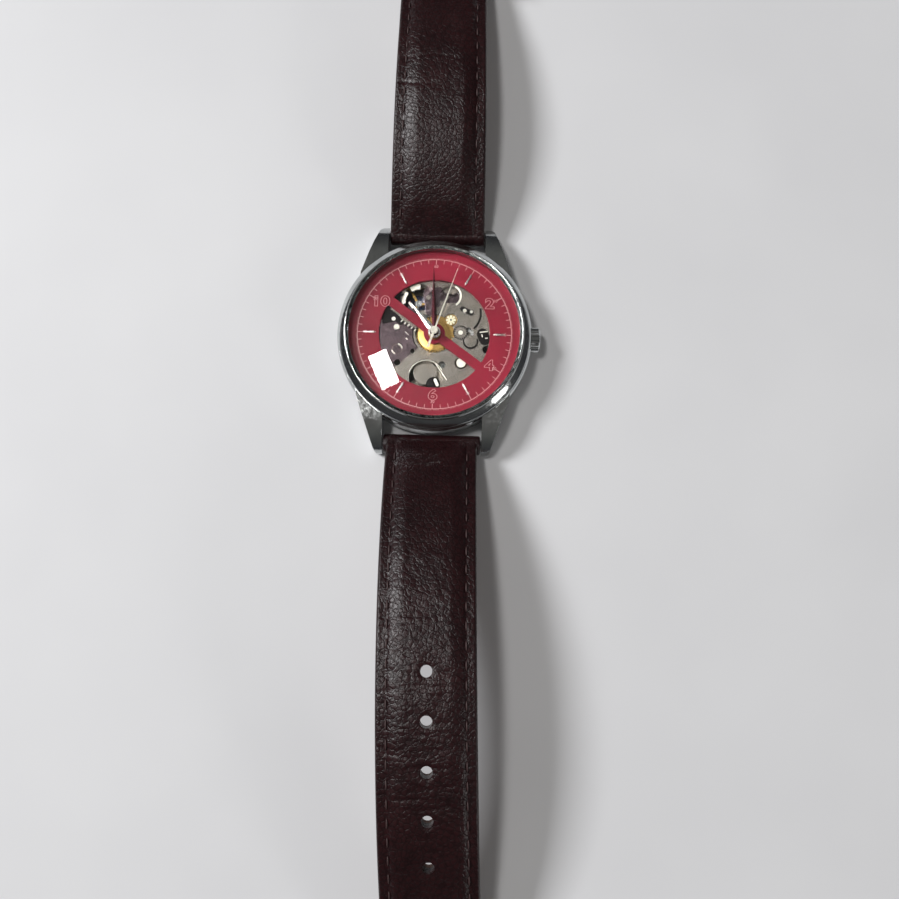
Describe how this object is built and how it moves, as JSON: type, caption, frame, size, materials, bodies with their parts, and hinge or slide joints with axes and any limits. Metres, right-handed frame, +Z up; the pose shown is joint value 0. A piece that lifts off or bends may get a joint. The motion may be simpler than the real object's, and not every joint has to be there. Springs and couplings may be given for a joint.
{
  "type": "wristwatch",
  "caption": "Round skeleton wristwatch with an open dial, hand-wound movement, domed glass and a two-piece leather strap with a pin buckle.",
  "frame": {"origin": "centre of the back glass, on the plane the case rests on", "axes": "+Z up through the dial, +Y to 12 o'clock, +X to the crown"},
  "size_m": [0.0372, 0.2303, 0.0189],
  "materials": {
    "polished_steel": "polished",
    "sapphire": "clear",
    "gasket_rubber": "matt",
    "ring_plastic": "matt",
    "dial_lacquer": "gloss lacquer",
    "nickel_plate": "grained nickel",
    "brass": "gilt",
    "steel": "fine",
    "blue_steel": "blued",
    "ruby": "polished",
    "hand_steel": "polished",
    "leather": "glossy dark burgundy brown",
    "lining_leather": "matt"
  },
  "bodies": {
    "case": {"case_middle": "polished_steel", "bezel": "polished_steel", "crystal": "sapphire", "tension_ring": "polished_steel", "case_back": "polished_steel", "back_crystal": "sapphire", "back_gasket": "gasket_rubber", "movement_ring": "ring_plastic", "crown_tube": "polished_steel", "spring_bars": "polished_steel", "dial": "dial_lacquer", "dial_indices": "hand_steel", "mainplate": "nickel_plate", "train_bridge": "nickel_plate", "barrel_bridge": "nickel_plate", "balance_cock": "nickel_plate", "pallet_cock": "nickel_plate", "keyless_cover": "nickel_plate", "click_spring": "steel", "regulator": "steel", "jewels": "ruby", "bridge_screws": "blue_steel"},
    "winding_shaft": {"winding_pinion": "steel"},
    "clutch": {"sliding_pinion": "steel"},
    "crown": {"crown": "polished_steel", "winding_stem": "steel"},
    "setting_lever": {"setting_lever": "steel"},
    "yoke": {"yoke": "steel"},
    "crown_wheel": {"crown_wheel": "steel"},
    "ratchet": {"ratchet_wheel": "steel", "barrel_arbor": "steel"},
    "click": {"click": "steel"},
    "barrel": {"barrel_drum": "brass", "barrel_cover": "brass", "mainspring": "steel"},
    "centre": {"centre_wheel": "brass", "cannon_pinion": "steel", "minute_hand": "hand_steel"},
    "third": {"third_wheel": "brass"},
    "fourth": {"fourth_wheel": "brass", "second_hand": "hand_steel"},
    "escape": {"escape_wheel": "steel"},
    "pallets": {"pallet_fork": "steel", "pallet_stones": "ruby"},
    "balance": {"balance_wheel": "brass", "balance_staff": "steel", "hairspring": "blue_steel"},
    "minute_wheel": {"minute_wheel": "brass"},
    "hour": {"hour_wheel": "brass", "hour_hand": "hand_steel"},
    "setting_wheel": {"setting_wheel": "steel"},
    "strap_upper": {"strap_upper": "leather", "strap_upper_lining": "lining_leather", "fixed_keeper": "leather"},
    "free_keeper": {"free_keeper": "leather"},
    "strap_lower": {"strap_lower": "leather", "strap_lower_lining": "lining_leather"},
    "buckle": {"buckle_frame": "polished_steel", "buckle_bar": "polished_steel"},
    "tongue": {"buckle_tongue": "polished_steel"}
  },
  "joints": [
    {"name": "strap_upper_hinge", "type": "hinge", "parent": "case", "child": "strap_upper", "pos_m": [0, 0.0199, 0.003], "axis": [1, 0, 0], "range_deg": [-87, 40]},
    {"name": "strap_lower_hinge", "type": "hinge", "parent": "case", "child": "strap_lower", "pos_m": [0, -0.0199, 0.003], "axis": [-1, 0, 0], "range_deg": [-105, 38]},
    {"name": "buckle_hinge", "type": "hinge", "parent": "strap_upper", "child": "buckle", "pos_m": [0, 0.08905, 0.00145], "axis": [1, 0, 0], "range_deg": [-60, 30]},
    {"name": "tongue_hinge", "type": "hinge", "parent": "buckle", "child": "tongue", "pos_m": [0, 0.08905, 0.00145], "axis": [1, 0, 0], "range_deg": [0, 60]},
    {"name": "keeper_slide", "type": "slide", "parent": "strap_upper", "child": "free_keeper", "axis": [0, 0.9483, -0.3173], "range_m": [-0.005, 0.002]},
    {"name": "crown_turn", "type": "hinge", "parent": "case", "child": "winding_shaft", "pos_m": [0.01, 0, 0.0036], "axis": [1, 0, 0], "continuous": true},
    {"name": "crown_pull", "type": "slide", "parent": "winding_shaft", "child": "crown", "axis": [1, 0, 0], "range_m": [0, 0.0009]},
    {"name": "clutch_slide", "type": "slide", "parent": "winding_shaft", "child": "clutch", "axis": [1, 0, 0], "range_m": [-0.0004, 0]},
    {"name": "setting_lever_swing", "type": "hinge", "parent": "case", "child": "setting_lever", "pos_m": [0.0103, 0.0034, 0.0054], "axis": [0, 0, 1], "range_deg": [0, 15.5]},
    {"name": "yoke_swing", "type": "hinge", "parent": "case", "child": "yoke", "pos_m": [0.0072, 0.0047, 0.0054], "axis": [0, 0, 1], "range_deg": [-7, 0]},
    {"name": "crown_wheel_spin", "type": "hinge", "parent": "case", "child": "crown_wheel", "pos_m": [0.00775, -0.00161, 0.0014], "axis": [0, 0, 1], "continuous": true},
    {"name": "ratchet_spin", "type": "hinge", "parent": "case", "child": "ratchet", "pos_m": [0.00152, -0.00568, 0.0014], "axis": [0, 0, 1], "continuous": true},
    {"name": "click_swing", "type": "hinge", "parent": "case", "child": "click", "pos_m": [-0.003, -0.00947, 0.0014], "axis": [0, 0, 1], "range_deg": [0, 6]},
    {"name": "fourth_spin", "type": "hinge", "parent": "case", "child": "fourth", "pos_m": [0, 0, 0.003], "axis": [0, 0, 1], "continuous": true},
    {"name": "third_spin", "type": "hinge", "parent": "case", "child": "third", "pos_m": [0.00303, 0.00255, 0.003], "axis": [0, 0, 1], "continuous": true},
    {"name": "centre_spin", "type": "hinge", "parent": "case", "child": "centre", "pos_m": [0, 0, 0.003], "axis": [0, 0, 1], "continuous": true},
    {"name": "barrel_spin", "type": "hinge", "parent": "case", "child": "barrel", "pos_m": [0.00152, -0.00568, 0.003], "axis": [0, 0, 1], "continuous": true},
    {"name": "escape_spin", "type": "hinge", "parent": "case", "child": "escape", "pos_m": [-0.00333, 0.00193, 0.003], "axis": [0, 0, 1], "continuous": true},
    {"name": "minute_wheel_spin", "type": "hinge", "parent": "case", "child": "minute_wheel", "pos_m": [0.00293, 0.00273, 0.0052], "axis": [0, 0, 1], "continuous": true},
    {"name": "hour_spin", "type": "hinge", "parent": "case", "child": "hour", "pos_m": [0, 0, 0.0055], "axis": [0, 0, 1], "continuous": true},
    {"name": "setting_wheel_spin", "type": "hinge", "parent": "case", "child": "setting_wheel", "pos_m": [0.0062, 0.00043, 0.0052], "axis": [0, 0, 1], "continuous": true},
    {"name": "balance_swing", "type": "hinge", "parent": "case", "child": "balance", "pos_m": [-0.0032, 0.0066, 0.0025], "axis": [0, 0, 1], "range_deg": [-270, 270], "deforming": ["hairspring"]},
    {"name": "pallet_swing", "type": "hinge", "parent": "case", "child": "pallets", "pos_m": [-0.00327, 0.00439, 0.003], "axis": [0, 0, 1], "range_deg": [-5.4, 5.4]}
  ],
  "couplings": [
    {"joint": "third_spin", "follows": "fourth_spin", "ratio": -0.13333},
    {"joint": "centre_spin", "follows": "fourth_spin", "ratio": 0.016667},
    {"joint": "barrel_spin", "follows": "fourth_spin", "ratio": -0.0027778},
    {"joint": "escape_spin", "follows": "fourth_spin", "ratio": -10},
    {"joint": "minute_wheel_spin", "follows": "fourth_spin", "ratio": -0.0055556},
    {"joint": "hour_spin", "follows": "fourth_spin", "ratio": 0.0013889},
    {"joint": "setting_wheel_spin", "follows": "fourth_spin", "ratio": 0.016667},
    {"joint": "crown_wheel_spin", "follows": "crown_turn", "ratio": 0.5},
    {"joint": "ratchet_spin", "follows": "crown_turn", "ratio": -0.36111},
    {"joint": "clutch_slide", "follows": "crown_pull", "ratio": -0.4},
    {"joint": "setting_lever_swing", "follows": "crown_pull", "rad_per_m": 281.69},
    {"joint": "yoke_swing", "follows": "crown_pull", "rad_per_m": -125},
    {"joint": "pallet_swing", "follows": "balance_swing", "ratio": 0.02}
  ]
}
